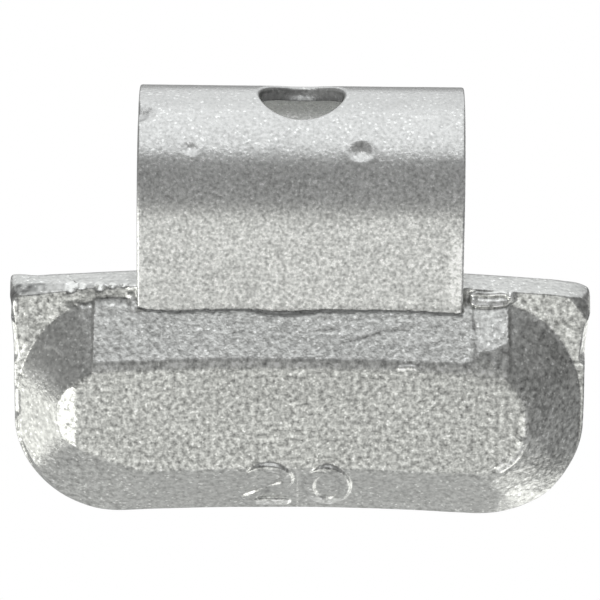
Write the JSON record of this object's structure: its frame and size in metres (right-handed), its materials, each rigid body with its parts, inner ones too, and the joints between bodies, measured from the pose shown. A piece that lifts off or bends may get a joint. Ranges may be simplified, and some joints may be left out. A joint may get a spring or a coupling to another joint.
{
  "type": "clip-on wheel balance weight",
  "caption": "Bevelled cast metal weight with a sprung steel hook that clips over the lip of a wheel rim.",
  "frame": {"origin": "middle of the hook's inner arc, half-way along the clip, where the lip of the rim sits", "axes": "+X along the rim, to the right seen from outside the wheel; +Y into the wheel; +Z away from the wheel's axle, over the top of the hook"},
  "size_m": [0.036, 0.0144, 0.0259],
  "materials": {
    "cast_body": "cast zinc under silver-grey paint with coarse metal flakes, grainy and slightly lumpy",
    "steel_clip": "spring-steel strip under silver-grey paint with fine metal flakes, smoother and brighter than the casting"
  },
  "bodies": {
    "root": {"weight_body": "cast_body", "clip": "steel_clip"}
  },
  "joints": []
}
